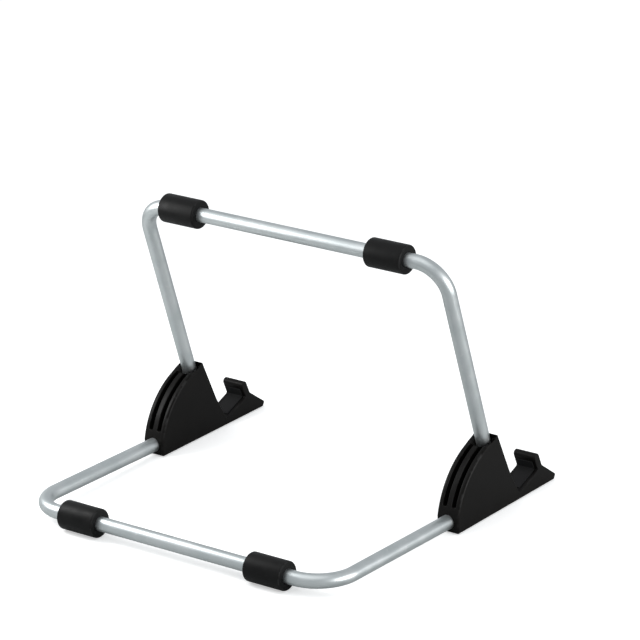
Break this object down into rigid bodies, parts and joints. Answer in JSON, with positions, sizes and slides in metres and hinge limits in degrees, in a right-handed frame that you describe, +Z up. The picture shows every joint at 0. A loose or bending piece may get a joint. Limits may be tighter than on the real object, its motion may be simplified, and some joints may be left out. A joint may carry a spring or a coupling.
{
  "type": "tablet stand",
  "caption": "Desk stand for a tablet: an upright and a flat bent-rod frame plugged into moulded brackets with a sloped seat and lip, with rubber sleeves on the rods.",
  "frame": {"origin": "on the table, at the middle of the stand's footprint, left to right and front to back", "axes": "+Z up; the tablet's screen faces -Y and it leans back towards +Y; +X is to the right of someone facing the screen"},
  "size_m": [0.1616, 0.1534, 0.1174],
  "materials": {
    "rod": "satin",
    "bracket_plastic": "satin",
    "sleeve_rubber": "matte",
    "pad_rubber": "matte"
  },
  "bodies": {
    "brackets": {"left_bracket": "bracket_plastic", "right_bracket": "bracket_plastic", "left_base_pad": "pad_rubber", "right_base_pad": "pad_rubber", "left_seat_pad": "pad_rubber", "right_seat_pad": "pad_rubber"},
    "lower_rods": {"lower_frame": "rod"},
    "upper_rods": {"upper_frame": "rod"},
    "lower_left_grip": {"lower_left_sleeve": "sleeve_rubber"},
    "lower_right_grip": {"lower_right_sleeve": "sleeve_rubber"},
    "upper_left_grip": {"upper_left_sleeve": "sleeve_rubber"},
    "upper_right_grip": {"upper_right_sleeve": "sleeve_rubber"}
  },
  "joints": [
    {"name": "lower_frame_pull", "type": "slide", "parent": "brackets", "child": "lower_rods", "axis": [0, 0.9998, 0.0178], "range_m": [0, 0.02]},
    {"name": "upper_frame_pull", "type": "slide", "parent": "brackets", "child": "upper_rods", "axis": [0, 0.2874, 0.9578], "range_m": [0, 0.02]},
    {"name": "lower_left_sleeve_slide", "type": "slide", "parent": "lower_rods", "child": "lower_left_grip", "axis": [1, 0, 0], "range_m": [-0.003, 0.0377]},
    {"name": "lower_right_sleeve_slide", "type": "slide", "parent": "lower_rods", "child": "lower_right_grip", "axis": [-1, 0, 0], "range_m": [-0.003, 0.0377]},
    {"name": "upper_left_sleeve_slide", "type": "slide", "parent": "upper_rods", "child": "upper_left_grip", "axis": [1, 0, 0], "range_m": [-0.0038, 0.0402]},
    {"name": "upper_right_sleeve_slide", "type": "slide", "parent": "upper_rods", "child": "upper_right_grip", "axis": [-1, 0, 0], "range_m": [0, 0.0446]}
  ]
}
